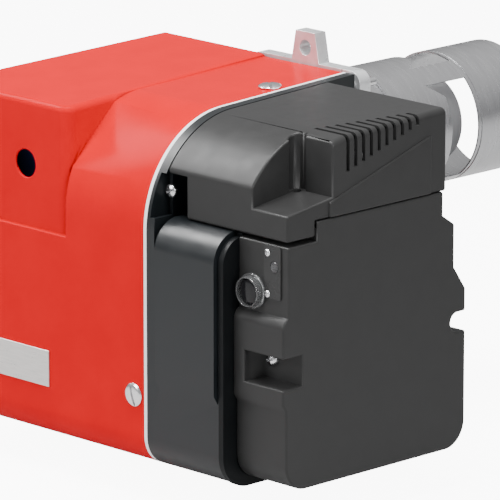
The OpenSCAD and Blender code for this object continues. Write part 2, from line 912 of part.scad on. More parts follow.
// side view of the air box
module box_profile(inset) {
  difference() {
    union() {
      translate([box_upper_rear + inset, box_bottom + 40])
        square([box_front_top - box_upper_rear - 2 * inset, box_rear_top - box_bottom - 40 - inset]);
      translate([cap_side_y + inset, box_bottom + 40])
        square([box_front_top - cap_side_y - 2 * inset, box_top - box_bottom - 40 - inset]);
      translate([box_lower_rear + box_block_r, box_block_top - box_block_r]) circle(box_block_r - inset);
      polygon([
        [box_lower_rear + inset, box_step_z], [box_lower_rear + box_step + inset, box_step_z - 6],
        [box_lower_rear + box_step + inset, box_bottom + box_bottom_r],
        [box_lower_rear + box_step + box_bottom_r, box_bottom + box_bottom_r],
        [box_lower_rear + box_step + box_bottom_r, box_bottom + inset],
        [box_front - box_bottom_r, box_bottom + inset],
        [box_front - box_bottom_r, box_bottom + box_bottom_r],
        [box_front - inset, box_bottom + box_bottom_r],
        [box_front - inset, box_block_top - 14], [box_front_mid - inset, box_block_top + 8],
        [box_front_mid - inset, -32 - inset], [box_front_top - inset, -22 - inset],
        [box_front_top - inset, box_block_top - inset], [box_lower_rear + box_block_r, box_block_top - inset],
        [box_lower_rear + box_block_r, box_block_top - box_block_r],
        [box_lower_rear + inset, box_block_top - box_block_r]
      ]);
      translate([box_lower_rear + box_step + box_bottom_r, box_bottom + box_bottom_r])
        circle(box_bottom_r - inset);
      translate([box_front - box_bottom_r, box_bottom + box_bottom_r]) circle(box_bottom_r - inset);
    }
    translate([box_front - 10, notch_z]) circle(notch_r + inset);
    translate([box_front - 10, notch_z - notch_r - inset]) square([40, 2 * (notch_r + inset)]);
  }
}

module air_box() {
  color("dimgray") difference() {
    along_x(box_x0, box_right) box_profile(0);
    along_x(box_x0 - 1, box_right - box_wall) box_profile(box_wall);
    block([box_x0 + box_wall, box_upper_rear + 20, box_top - box_wall - 1],
          [box_right - box_wall, box_front_top - box_wall, box_top + 1]);
    block([corner_slot_x0, box_lower_rear - 10, corner_slot_z0],
          [box_right + 1, box_lower_rear + corner_slot_depth, corner_slot_z1]);
    rod_y(box_upper_rear - 1, box_upper_rear + 4, knob_x, knob_z, knob_button_r + 0.5);
    block([panel_x0 + 8, box_upper_rear - 1, lens_z - 8], [panel_x1 - 3, box_upper_rear + 4, lens_z + 8]);
  }
  color("dimgray") difference() {
    block([corner_slot_x0 - box_wall, box_lower_rear + box_wall, corner_slot_z0 - box_wall],
          [box_right - box_wall, box_lower_rear + corner_slot_depth + box_wall,
           corner_slot_z1 + box_wall]);
    block([corner_slot_x0, box_lower_rear, corner_slot_z0],
          [box_right, box_lower_rear + corner_slot_depth, corner_slot_z1]);
  }
}

// side view of the cap
module cap_profile(inset) {
  intersection() {
    case_profile(inset);
    polygon([
      [cap_rear + inset, cap_rear_z - 1], [cap_rear + inset, 200],
      [cap_front - inset, 200], [cap_front - inset, cap_rear_z - 1]
    ]);
  }
}

module top_cap() {
  color("dimgray") difference() {
    union() {
      along_x(cap_x0, cap_right) cap_profile(0);
      along_x(cap_right - 1, box_right) polygon([
        [ledge_y0, 0], [ledge_y0, ledge_z0], [ledge_y1, ledge_z0 + ledge_slope * (ledge_y1 - ledge_y0)],
        [ledge_y1, 0]
      ]);
    }
    difference() {
      along_x(cap_x0 - 1, cap_right - box_wall) cap_profile(box_wall);
      along_x(pocket_x0 - box_wall, cap_right + 1) pocket_profile(box_wall);
      rod_z(-60, 100, pocket_x0 + 3, pocket_y1 - 3, pocket_groove_r + box_wall);
    }
    block([cap_x0 - 1, cap_rear - 1, -100], [cap_right + 3, cap_front + 1, cap_rear_z]);
    block([cap_x0 - 1, cap_rear + box_wall, -100], [cap_right - box_wall, cap_front - box_wall, 0]);
    block([cap_x0 - 1, cap_rear - 1, -100], [recess_x1, recess_y + 2, recess_z1]);
    block([cap_x0 - 1, cap_front - box_wall - 1, -100], [scroll_x1 + 6, cap_front + 1, scroll_top + 2]);
    block([intake_x1, cap_side_y, -100], [cap_right + 3, cap_front + 1, cap_side_z]);
    along_x(pocket_x0, cap_right + 3) pocket_profile(0);
    rod_z(pocket_z + 9, 100, pocket_x0 + 3, pocket_y1 - 3, pocket_groove_r);
    rod_z(-60, 100, pocket_x0 + 3, pocket_y1 - 3, 4);
    for (k = [0 : vent_count - 1]) vent_cut(k);
  }
}

// space over the pocket's floor, in side view
module pocket_profile(wall) {
  z1 = pocket_z + pocket_slope * (pocket_y1 - cap_rear);
  polygon([
    [cap_rear - 5, pocket_z - wall], [pocket_y1 + wall, z1 - wall], [pocket_y1 + wall, 120],
    [cap_rear - 5, 120]
  ]);
}

// one vent slot, from the top surface over the edge and down the side
module vent_cut(k) {
  y = vent_y0 + k * vent_pitch;
  block([vent_top_x + k * vent_top_step, y - vent_w / 2, vent_foot_z + ledge_slope * k * vent_pitch],
        [cap_right + 5, y + vent_w / 2, 100]);
}

module case_screws() {
  color("silver") {
    rod_y(recess_y - 5, recess_y, recess_screw_x, recess_screw_z, case_screw_r);
    rod_y(box_lower_rear + corner_slot_depth - 7, box_lower_rear + corner_slot_depth,
          corner_slot_x0 + 2 * case_screw_r, corner_slot_z1 - 1.5 * case_screw_r, case_screw_r);
    rod_z(pocket_z, pocket_z + 5, pocket_x0 + 3, pocket_y1 - 3, 3.6);
  }
}

module indicator_plate() {
  color("dimgray") difference() {
    along_y(box_upper_rear - panel_t, box_upper_rear)
      round_rect([panel_x0, panel_z0], [panel_x1, panel_z1], 2);
    rod_y(box_upper_rear - 3, box_upper_rear + 1, lens_x, lens_z, 5 + seat_gap);
    rod_y(box_upper_rear - 3, box_upper_rear + 1, knob_x, knob_z, knob_r + seat_gap);
  }
}

module plate_screws() {
  color("silver") for (z = [panel_screw_z0, panel_screw_z1])
    rod_y(box_upper_rear - panel_t - 2, box_upper_rear - panel_t, panel_screw_x, z, 3.3);
}

module indicator_lens() {
  color("gray") rod_y(box_upper_rear - panel_t - 1, box_upper_rear, lens_x, lens_z, 5);
}

module reset_guard() {
  color("whitesmoke") difference() {
    union() {
      rod_y(box_upper_rear - knob_h, box_upper_rear, knob_x, knob_z, knob_r - 2);
      rod_y(box_upper_rear - 3, box_upper_rear, knob_x, knob_z, knob_r);
    }
    rod_y(box_upper_rear - knob_h - 1, box_upper_rear + 1, knob_x, knob_z, knob_button_r + 0.5);
  }
}

module reset_button() {
  color("black") {
    rod_y(box_upper_rear - 5, box_upper_rear + 4, knob_x, knob_z, knob_button_r);
    rod_y(box_upper_rear - 6.5, box_upper_rear - 5, knob_x, knob_z, knob_button_r - 2);
  }
}

module damper_flap() {
  color("silver") difference() {
    union() {
      block([flap_x - 3.7, flap_y - flap_w / 2, flap_z - flap_h],
            [flap_x - 3.7 + flap_t, flap_y + flap_w / 2, flap_z]);
      rod_y(flap_y - flap_w / 2, flap_y + flap_w / 2, flap_x, flap_z, 4.6);
    }
    rod_y(flap_y - flap_w, flap_y + flap_w, flap_x, flap_z, flap_shaft_r + press_gap);
  }
}

module damper_shaft() {
  color("silver") rod_y(quadrant_y - 6, flap_y + flap_w / 2 + 6, flap_x, flap_z, flap_shaft_r);
}

module damper_quadrant() {
  color("black") difference() {
    union() {
      rod_y(quadrant_y, quadrant_y + 6, flap_x, flap_z, 4.6);
      intersection() {
        rod_y(quadrant_y, quadrant_y + 6, flap_x, flap_z, quadrant_r);
        block([flap_x - 1, quadrant_y, flap_z - 20], [flap_x + 20, quadrant_y + 6, flap_z + 2.5]);
      }
    }
    rod_y(quadrant_y - 1, quadrant_y + 7, flap_x, flap_z, flap_shaft_r + press_gap);
  }
}

module ram_body() {
  color("silver") difference() {
    rod_z(ram_z0, ram_z1, ram_x, quadrant_y + 3, ram_body_r);
    rod_z(ram_z0 + 4, ram_z1 + 1, ram_x, quadrant_y + 3, ram_rod_r + running_gap);
  }
}

module ram_rod() {
  color("silver") rod_z(ram_z1 - 30, flap_z + 8, ram_x, quadrant_y + 3, ram_rod_r);
}

module foam_lining() {
  x1 = box_right - box_wall - seat_gap;
  color("gray") block([x1 - foam_t, box_upper_rear + foam_edge, box_bottom + foam_foot],
                      [x1, box_front - foam_edge, box_block_top]);
}

module seam_gasket() {
  color("white") difference() {
    along_x(seam_x, ring_x0) difference() {
      case_profile(0);
      case_profile(4);
    }
    block([seam_x - 1, hood_front_y - 8, -slot_half_h], [ring_x0 + 1, 0, slot_half_h]);
  }
}

// plan of the hood: the left side leans inwards towards the boiler
module hood_plan(inset) {
  lean = hood_draft / (hood_front_y - rear_y);
  reach = 10;
  polygon([
    [-hood_left + inset - lean * reach, rear_y - reach], [seam_x + reach, rear_y - reach],
    [seam_x + reach, hood_front_y + reach],
    [-hood_left + inset + hood_draft + lean * reach, hood_front_y + reach]
  ]);
}

// plan of the crown, with its rounded right rear corner
module crown_plan(inset) {
  r = crown_r - inset;
  x1 = crown_right - inset;
  translate([x1 - r, crown_rear + crown_r]) circle(r);
  translate([-hood_left - 5, crown_rear + inset]) square([hood_left + 5 + x1 - r, hood_depth]);
  translate([x1 - r - 1, crown_rear + crown_r]) square([r + 1, hood_depth]);
}

module crown_profile(inset) {
  polygon([
    [crown_rear + inset, crown_z0 - 4], [crown_rear + inset, crown_top_rear - inset],
    [hood_front_y - inset, crown_top_front - inset], [hood_front_y - inset, crown_z0 - 4]
  ]);
}

module hood_solid(inset) {
  intersection() {
    translate([0, 0, bottom_z - 5]) linear_extrude(2 * hood_down) hood_plan(inset);
    union() {
      difference() {
        along_x(-hood_left - 5, seam_x + inset) case_profile(inset);
        block([-hood_left - 6, rear_y - 1, crown_z0 - inset], [crown_right, 0, 200]);
      }
      intersection() {
        along_x(-hood_left - 5, crown_right) crown_profile(inset);
        translate([0, 0, crown_z0 - 10]) linear_extrude(200) crown_plan(inset);
      }
      if (inset > 0) along_x(crown_right - inset - 0.1, crown_right) intersection() {
        crown_profile(inset);
        case_profile(inset);
      }
    }
  }
}

module hood() {
  color("red") difference() {
    hood_solid(0);
    hood_solid(hood_wall);
    rod_y(rear_y - 1, crown_rear + 10, finger_x, finger_z, finger_hole_d / 2);
    block([duct_left - 3, hood_front_y - hood_wall - 1, -slot_half_h],
          [seam_x + 1, hood_front_y + 1, slot_half_h]);
    block([pump_x0 - 6, fan_y - 30, bottom_z - 1], [pump_x1, fan_y + 30, bottom_z + hood_wall + 1]);
  }
}

module hood_screws() {
  color("silver") {
    rod_y(rear_y - 4, rear_y, hood_screw_x, hood_screw_z, hood_screw_r);
    translate([hood_screw_x, hood_screw_y, case_top_front + top_slope * (hood_screw_y - hood_front_y)])
      rotate([top_angle, 0, 0]) cylinder(h = 4, r = hood_screw_r);
    rod_y(hood_front_y, hood_front_y + 4, hood_screw_x, hood_screw_z, hood_screw_r);
  }
}

module badge_plate() {
  color("silver") along_y(rear_y - 1.5, rear_y)
    round_rect([badge_x - badge_w / 2, badge_z - badge_h / 2],
               [badge_x + badge_w / 2, badge_z + badge_h / 2], 4);
}

boiler_flange();
flange_screws();
tube_neck();
blast_tube();
inner_sleeve();
air_duct();
line_gland();
nozzle_holder();
nozzle();
electrode_insulators();
electrode_rods();
electrode_clamp();
diffuser_disc();
ht_leads();
flame_sensor();
ignition_transformer();
control_box();
control_button();
control_plug();
component_tray();
motor_body();
motor_bracket();
motor_end_cap();
motor_stator();
motor_rotor();
motor_shaft();
motor_bearings();
capacitor();
fan_wheel();
fan_inlet_ring();
pump_carrier();
pump_coupling();
pump_shaft();
oil_pump();
solenoid_coil();
oil_pipe();
fan_housing();
joint_plate();
air_box();
top_cap();
case_screws();
indicator_plate();
plate_screws();
indicator_lens();
reset_guard();
reset_button();
damper_flap();
damper_shaft();
damper_quadrant();
ram_body();
ram_rod();
foam_lining();
seam_gasket();
hood();
hood_screws();
badge_plate();
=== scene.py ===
"""Dresses the light-oil burner: its finishes, rounded edges, screws, knob and stage.

Lengths are in metres. X runs to the right seen from behind, Y towards the boiler, Z up, and
the origin lies on the blast tube's axis, in the flange face that meets the boiler.
"""

import json
import math

import bmesh
import bpy
from mathutils import Matrix, Vector
from mathutils.bvhtree import BVHTree


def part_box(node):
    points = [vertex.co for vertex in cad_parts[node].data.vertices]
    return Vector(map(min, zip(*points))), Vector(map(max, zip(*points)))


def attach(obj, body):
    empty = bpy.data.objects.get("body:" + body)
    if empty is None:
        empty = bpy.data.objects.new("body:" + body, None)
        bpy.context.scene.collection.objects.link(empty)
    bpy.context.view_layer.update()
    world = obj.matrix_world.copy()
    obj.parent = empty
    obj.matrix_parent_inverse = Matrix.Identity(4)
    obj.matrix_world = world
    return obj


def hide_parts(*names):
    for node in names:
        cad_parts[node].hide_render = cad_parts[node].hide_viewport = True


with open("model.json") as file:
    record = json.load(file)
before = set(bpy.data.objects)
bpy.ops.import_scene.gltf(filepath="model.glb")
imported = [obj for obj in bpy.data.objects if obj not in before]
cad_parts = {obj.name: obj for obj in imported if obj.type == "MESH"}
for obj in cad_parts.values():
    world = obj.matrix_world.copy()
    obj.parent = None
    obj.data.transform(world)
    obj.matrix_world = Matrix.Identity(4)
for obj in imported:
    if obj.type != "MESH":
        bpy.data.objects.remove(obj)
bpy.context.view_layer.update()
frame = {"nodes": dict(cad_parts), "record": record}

bl_info = {
    "name": "Oil burner dresser",
    "version": (1, 0, 0),
    "blender": (4, 5, 0),
    "location": "View3D > Sidebar > Burner",
    "description": "Gives an oil burner its finishes, edges and small pieces",
    "category": "Object",
}

MM = 0.001
REAR = (0, -1, 0)
UP = (0, 0, 1)

# Boxes of the nodes that new pieces stand for or sit on
HOOD_LOW, HOOD_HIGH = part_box("hood")
CAP_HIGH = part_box("top_cap")[1]
GUARD_LOW, GUARD_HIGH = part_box("reset_guard")
BUTTON_LOW, BUTTON_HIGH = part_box("reset_button")
LENS_LOW, LENS_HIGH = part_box("indicator_lens")
BADGE_LOW, BADGE_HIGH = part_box("badge_plate")
COVER_SCREWS_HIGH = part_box("hood_screws")[1]
PANEL_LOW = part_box("indicator_plate")[0]

# The hood's round part
CASE_Y, CASE_Z = -170 * MM, -29 * MM
CASE_RADIUS = 100 * MM
HOOD_WALL = 2.5 * MM
HOOD_TOP_SLOPE = 0.0431
HOOD_SHORT_EDGE = 1.5 * MM

# The crown, the hood's high left part, and the facet beside it
CROWN_SIDE = -50 * MM
CROWN_REAR = -254 * MM
CROWN_RIM = 62 * MM
CROWN_CUT = -56 * MM
CROWN_SPLIT = -211 * MM
CROWN_FALL = 1.2 * MM
FACET_OUT = Vector((0, -0.6922, 0.7217))
FACET_RUN = 40 * MM
FACET_REACH = 14 * MM

# The cap's vented side, and where the vents lie, whose edges stay sharp
VENTED_SIDE = CAP_HIGH.x - 2 * MM
VENTED_LOW = 40 * MM
VENTS_REAR, VENTS_FRONT = -182 * MM, -84 * MM
VENTS_LEFT, VENTS_LOW = 172 * MM, 36 * MM
CAST_SHORT_EDGE = 0.8 * MM

# Cover screws, one behind, one on top and one in front
COVER_SCREW_X, COVER_SCREW_Y, COVER_SCREW_Z = 40 * MM, -99 * MM, -182 * MM
COVER_SCREW_HEIGHT = 4 * MM
COVER_SCREW_RADIUS = 10.8 * MM
COVER_SLOT = 2.6 * MM
COVER_SLOT_FLOOR = 1.2 * MM

# Cross-head screws: place, direction, head radius, head height and turn
CASE_SCREWS = (
    ((66.6 * MM, -247 * MM, 7 * MM), REAR, 6.5 * MM, 4.6 * MM, 0.4),
    ((183 * MM, -235 * MM, -128 * MM), REAR, 6.5 * MM, 5.6 * MM, 0.2),
    ((176 * MM, -199 * MM, 9 * MM), UP, 3.6 * MM, 4.6 * MM, 0.7),
)
PLATE_SCREWS = (
    ((194.2 * MM, PANEL_LOW.y, -63 * MM), REAR, 3.3 * MM, 2.0 * MM, 0.5),
    ((194.2 * MM, PANEL_LOW.y, -25.8 * MM), REAR, 3.3 * MM, 2.0 * MM, 0.5),
)

# The reset guard's bore and the badge plate's edge
GUARD_BORE = 12.5 * MM
BADGE_EDGE = 0.45 * MM

# The view: where the tube's rear end lies in the photo, and how far it is from the camera
VIEW_TURN, VIEW_RISE = math.radians(45.6), math.radians(14.1)
VIEW_FAR = 40.0
PHOTO_PX = 500
FOCAL_PX = 5895.0
SENSOR_MM = 36.0
TUBE_REAR = Vector((0, 48 * MM, 0))
TUBE_REAR_PX = (352.0, 134.2)
TUBE_REAR_AWAY = 5.495

# The floor and the sky
FLOOR_HALF = 9.0
FLOOR_DROP = 30 * MM
FLOOR_GREY = (0.5, 0.5, 0.5)
FLOOR_GLOW = 9.0
SKY_LOW, SKY_HIGH = (0.30, 0.30, 0.31, 1), (1, 1, 1, 1)
SKY_LIGHT_FROM = 0.75
SKY_LEVEL = 0.75

# Lamps: name, place, side length and power in watts
LAMPS = (
    ("key_rear", (-0.9, -2.6, 1.3), 1.2, 58.0),
    ("top_soft", (0.1, -0.5, 2.2), 1.1, 105.0),
    ("side_right", (2.6, -0.5, 1.0), 1.2, 48.0),
    ("gloss_left", (-1.75, -0.72, 1.62), 1.0, 75.0),
)
LAMP_AIM = Vector((0, -0.12, -0.07))
GLOSS_ONLY_LAMP = "gloss_left"

# Limits of the mesh tools
MERGE_GAP = 0.004 * MM
TURNED_MERGE_GAP = 0.002 * MM
CUT_GAP = 0.001 * MM
ON_PLANE = 0.01 * MM
NEAR = 0.5 * MM
SKIN_GAP = 0.3 * MM
RAY_START, RAY_REACH = 0.5 * MM, 300 * MM
FLAT_TURN = math.radians(0.6)
SMOOTH_TURN = math.radians(30)
SHARP_DEGREES = 35
HOOD_SHARP_DEGREES = 40
FACING = 0.9
NORMAL_WEIGHT = 80
DOME_STEPS = 8

# Parts of a noise's range that a roughness and a colour are spread over
NOISE_LOW, NOISE_HIGH = 0.3, 0.7
TINT_LOW, TINT_HIGH = 0.35, 0.65

# Sizes and colours


class BurnerSizes(bpy.types.PropertyGroup):
    """Sizes of the small forms that the scene adds."""

    hood_edge: bpy.props.FloatProperty(
        name="Hood edge radius", description="Rounding of the hood's edges",
        default=1.5 * MM, unit="LENGTH")
    facet_depth: bpy.props.FloatProperty(
        name="Facet depth", description="How deep the facet beside the crown cuts into the arc",
        default=6.9 * MM, unit="LENGTH")
    crown_edge: bpy.props.FloatProperty(
        name="Crown edge radius", description="Rounding of the crown's top rear edges",
        default=6.0 * MM, unit="LENGTH")
    cast_edge: bpy.props.FloatProperty(
        name="Casting edge radius", description="Rounding of the housing's edges",
        default=1.4 * MM, unit="LENGTH")
    box_edge: bpy.props.FloatProperty(
        name="Box edge radius", description="Rounding of the air box's and the cap's edges",
        default=2.0 * MM, unit="LENGTH")
    vent_edge: bpy.props.FloatProperty(
        name="Vented edge radius", description="Rounding of the cap's long edge with the vents",
        default=6.0 * MM, unit="LENGTH")
    metal_edge: bpy.props.FloatProperty(
        name="Metal edge radius", description="Rounding of the flange's and the small parts' edges",
        default=0.6 * MM, unit="LENGTH")
    screw_dome: bpy.props.FloatProperty(
        name="Screw dome height", description="Height of a cover screw's dome",
        default=3.2 * MM, unit="LENGTH")


class BurnerColours(bpy.types.PropertyGroup):
    """Base colours of the visible finishes."""

    hood_red: bpy.props.FloatVectorProperty(
        name="Hood red", description="Glossy red of the hood", subtype="COLOR",
        default=(0.56, 0.0010, 0.0062))
    housing_dark: bpy.props.FloatVectorProperty(
        name="Housing grey", description="Cool dark grey of the fan housing", subtype="COLOR",
        default=(0.0060, 0.0078, 0.0092))
    box_dark: bpy.props.FloatVectorProperty(
        name="Box grey", description="Neutral dark grey of the air box and the cap",
        subtype="COLOR", default=(0.023, 0.023, 0.023))
    bright_steel: bpy.props.FloatVectorProperty(
        name="Bright steel", description="Steel of the tube", subtype="COLOR",
        default=(0.50, 0.50, 0.51))
    cast_metal: bpy.props.FloatVectorProperty(
        name="Cast metal", description="Aluminium of the flange", subtype="COLOR",
        default=(0.74, 0.75, 0.76))
    seal_white: bpy.props.FloatVectorProperty(
        name="Seal white", description="White of the seam gasket", subtype="COLOR",
        default=(0.86, 0.87, 0.88))


# Finishes


def new_finish(name):
    """An empty material with its node tree and its shader."""
    finish = bpy.data.materials.new(name)
    finish.use_nodes = True
    tree = finish.node_tree
    return finish, tree, tree.nodes["Principled BSDF"]


def grain(tree, scale, stretch=(1, 1, 1), detail=3.0):
    """Noise in object coordinates; stretch above 1 makes it finer along that axis."""
    place = tree.nodes.new("ShaderNodeTexCoord")
    turn = tree.nodes.new("ShaderNodeMapping")
    turn.inputs["Scale"].default_value = stretch
    noise = tree.nodes.new("ShaderNodeTexNoise")
    noise.inputs["Scale"].default_value = scale
    noise.inputs["Detail"].default_value = detail
    tree.links.new(place.outputs["Object"], turn.inputs["Vector"])
    tree.links.new(turn.outputs["Vector"], noise.inputs["Vector"])
    return noise.outputs["Fac"]


def spread(tree, value, low, high):
    """Maps a noise value to the stretch from low to high."""
    node = tree.nodes.new("ShaderNodeMapRange")
    node.inputs["From Min"].default_value = NOISE_LOW
    node.inputs["From Max"].default_value = NOISE_HIGH
    node.inputs["To Min"].default_value = low
    node.inputs["To Max"].default_value = high
    tree.links.new(value, node.inputs["Value"])
    return node.outputs["Result"]


def tint(tree, value, colour, change):
    """Lets a noise value darken and lighten a colour a little."""
    ramp = tree.nodes.new("ShaderNodeValToRGB")
    ramp.color_ramp.elements[0].position = TINT_LOW
    ramp.color_ramp.elements[1].position = TINT_HIGH
    ramp.color_ramp.elements[0].color = [c * (1 - change) for c in colour] + [1]
    ramp.color_ramp.elements[1].color = [min(1, c * (1 + change)) for c in colour] + [1]
    tree.links.new(value, ramp.inputs["Fac"])
    return ramp.outputs["Color"]


def bump(tree, value, depth, strength):
    """A bump from a noise value."""
    node = tree.nodes.new("ShaderNodeBump")
    node.inputs["Strength"].default_value = strength
    node.inputs["Distance"].default_value = depth
    tree.links.new(value, node.inputs["Height"])
    return node.outputs["Normal"]


def surface(name, colour, rough, metal=0.0, change=0.05, rough_change=0.05, scale=60.0,
            stretch=(1, 1, 1), fine=900.0, depth=0.00005, strength=0.25, shine=0.5):
    """A procedural finish: mottled colour and roughness, and a fine grain in the surface."""
    finish, tree, shader = new_finish(name)
    broad = grain(tree, scale, stretch)
    narrow = grain(tree, fine, stretch, 2.0)
    tree.links.new(tint(tree, broad, colour, change), shader.inputs["Base Color"])
    tree.links.new(spread(tree, broad, rough - rough_change, rough + rough_change),
                   shader.inputs["Roughness"])
    tree.links.new(bump(tree, narrow, depth, strength), shader.inputs["Normal"])
    shader.inputs["Metallic"].default_value = metal
    shader.inputs["Specular IOR Level"].default_value = shine
    return finish


def clear_finish(name, colour, rough):
    """Clear moulded plastic with faint flow marks."""
    finish, tree, shader = new_finish(name)
    marks = grain(tree, 180.0)
    tree.links.new(tint(tree, marks, colour, 0.03), shader.inputs["Base Color"])
    tree.links.new(spread(tree, marks, rough, rough + 0.06), shader.inputs["Roughness"])
    shader.inputs["Transmission Weight"].default_value = 0.85
    shader.inputs["IOR"].default_value = 1.45
    return finish


FINISHES = {}


def make_finishes(colours):
    """One finish for each of the record's material slots."""
    red = tuple(colours.hood_red)
    dark = tuple(colours.housing_dark)
    box = tuple(colours.box_dark)
    steel = tuple(colours.bright_steel)
    cast = tuple(colours.cast_metal)
    white = tuple(colours.seal_white)
    brushed = (1, 12, 1)
    FINISHES.update({
        "hood_red": surface("glossy red", red, 0.24, change=0.03, rough_change=0.03, scale=25,
                            fine=420, depth=0.00002, strength=0.06, shine=0.016),
        "housing_dark": surface("cool dark paint", dark, 0.36, change=0.06, fine=1500,
                                depth=0.00003, strength=0.12, shine=0.36),
        "rim_black": surface("black rim", (0.0045, 0.0052, 0.0058), 0.42, fine=1400, shine=0.12),
        "box_plastic": surface("dark moulding", box, 0.40, change=0.05, fine=1600,
                               depth=0.00003, strength=0.12, shine=0.20),
        "panel_plastic": surface("panel moulding", box, 0.28, fine=1500, shine=0.25),
        "flange_metal": surface("cast flange", cast, 0.32, metal=0.6, change=0.06, scale=90,
                                fine=1200, depth=0.00006, strength=0.3),
        "screw_steel": surface("bright screws", (0.78, 0.78, 0.79), 0.22, metal=1.0, scale=200),
        "tube_steel": surface("rolled tube steel", steel, 0.24, metal=0.9, change=0.04,
                              stretch=(1, 6, 1), scale=40, fine=700, depth=0.00003),
        "head_steel": surface("head steel", (0.5, 0.5, 0.51), 0.36, metal=0.9, stretch=brushed),
        "brass": surface("brass", (0.72, 0.52, 0.22), 0.3, metal=1.0),
        "ceramic": surface("glazed ceramic", (0.86, 0.85, 0.8), 0.2, change=0.03),
        "lead_rubber": surface("lead rubber", (0.03, 0.03, 0.032), 0.55),
        "duct_metal": surface("grey casting", (0.3, 0.31, 0.33), 0.5, metal=0.6, change=0.1),
        "sensor_black": surface("black moulding", (0.03, 0.03, 0.034), 0.35),
        "trafo_grey": surface("potted grey", (0.11, 0.115, 0.13), 0.5),
        "control_blue": surface("control blue", (0.05, 0.1, 0.28), 0.4),
        "button_red": surface("button red", (0.5, 0.02, 0.015), 0.3),
        "tray_steel": surface("zinc sheet", (0.6, 0.61, 0.63), 0.35, metal=0.9, change=0.1),
        "motor_paint": surface("motor paint", (0.09, 0.1, 0.11), 0.4, change=0.1),
        "winding": surface("enamelled winding", (0.45, 0.18, 0.07), 0.4, metal=0.4),
        "rotor_steel": surface("ground steel", (0.55, 0.55, 0.56), 0.3, metal=1.0,
                               stretch=(12, 1, 1)),
        "can_grey": surface("drawn can", (0.65, 0.66, 0.67), 0.35, metal=0.9),
        "fan_zinc": surface("zinc plated fan", (0.62, 0.63, 0.65), 0.35, metal=0.95, change=0.1),
        "coupling_plastic": surface("orange nylon", (0.65, 0.2, 0.03), 0.45),
        "pump_metal": surface("pump casting", (0.55, 0.55, 0.57), 0.45, metal=0.8, change=0.1),
        "copper": surface("drawn copper", (0.7, 0.32, 0.18), 0.3, metal=1.0),
        "lens_clear": clear_finish("clear lens", (0.22, 0.22, 0.23), 0.06),
        "knob_clear": clear_finish("clear guard", (0.34, 0.345, 0.35), 0.04),
        "knob_black": surface("black knob", (0.008, 0.008, 0.009), 0.16, shine=0.25),
        "lever_black": surface("lever black", (0.02, 0.02, 0.02), 0.45),
        "ram_steel": surface("ram steel", (0.6, 0.6, 0.62), 0.28, metal=1.0),
        "foam": surface("open cell foam", (0.05, 0.05, 0.05), 0.9, change=0.3, scale=400,
                        fine=700, depth=0.0008, strength=0.9),
        "gasket_white": surface("seal white", white, 0.5, change=0.02),
        "badge_silver": surface("brushed badge", (0.66, 0.64, 0.62), 0.32, metal=0.85,
                                stretch=(1, 1, 10)),
    })


def dress(item, slot_name):
    """Gives a piece the finish of one of the record's slots."""
    item.data.materials.clear()
    item.data.materials.append(FINISHES[slot_name])


# Shapes


def smooth_by_angle(item):
    """Smooth shading that keeps the sharp edges."""
    mesh = item.data
    for face in mesh.polygons:
        face.use_smooth = True
    mesh.set_sharp_from_angle(angle=SMOOTH_TURN)


def place(bm, name, slot_name, body, covers=()):
    """Turns a bmesh into a finished piece that rides on a body."""
    mesh = bpy.data.meshes.new(name)
    bm.to_mesh(mesh)
    bm.free()
    item = bpy.data.objects.new(name, mesh)
    bpy.context.scene.collection.objects.link(item)
    smooth_by_angle(item)
    normals = item.modifiers.new("normals", "WEIGHTED_NORMAL")
    normals.keep_sharp = True
    normals.weight = NORMAL_WEIGHT
    dress(item, slot_name)
    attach(item, body)
    if covers:
        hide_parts(*covers)
    return item


def merged_copy(node):
    """A clean bmesh of a CAD node, with its flat areas joined into single faces."""
    bm = bmesh.new()
    bm.from_mesh(frame["nodes"][node].data)
    bmesh.ops.remove_doubles(bm, verts=bm.verts, dist=MERGE_GAP)
    bmesh.ops.dissolve_limit(bm, angle_limit=FLAT_TURN, verts=bm.verts, edges=bm.edges)
    return bm


def with_borders(faces):
    """Faces with their corners and edges, each one once and in a fixed order."""
    parts = {}
    for face in faces:
        for part in (face, *face.verts, *face.edges):
            parts[part] = None
    return list(parts)


def middle_of(edge):
    """The middle of an edge."""
    return (edge.verts[0].co + edge.verts[1].co) / 2


def sharp_edges(bm, degrees, test=None):
    """Outward edges between two faces that turn more than the angle."""
    limit = math.radians(degrees)
    found = []
    for edge in bm.edges:
        if len(edge.link_faces) == 2 and edge.calc_face_angle_signed(0.0) > limit:
            if test is None or test(edge):
                found.append(edge)
    return found


def skin_edges(bm, degrees, test=None):
    """Sharp outward edges of the outer skin: nothing of the shape lies above them."""
    tree = BVHTree.FromBMesh(bm)
    found = []
    for edge in sharp_edges(bm, degrees, test):
        out = (edge.link_faces[0].normal + edge.link_faces[1].normal).normalized()
        if tree.ray_cast(middle_of(edge) + out * RAY_START, out, RAY_REACH)[0] is None:
            found.append(edge)
    return found


def round_edges(bm, edges, width, segments=3, clamp=True):
    """Rounds edges with an arc of the given width."""
    bmesh.ops.bevel(bm, geom=edges, offset=width, offset_type="OFFSET", segments=segments,
                    profile=0.5, affect="EDGES", clamp_overlap=clamp, material=-1)


def softened(node, slot_name, body, width, segments=3):
    """A node's shape with its sharp edges rounded; it stands for the node."""
    bm = merged_copy(node)
    round_edges(bm, sharp_edges(bm, SHARP_DEGREES), width, segments)
    return place(bm, node + "_form", slot_name, body, covers=(node,))


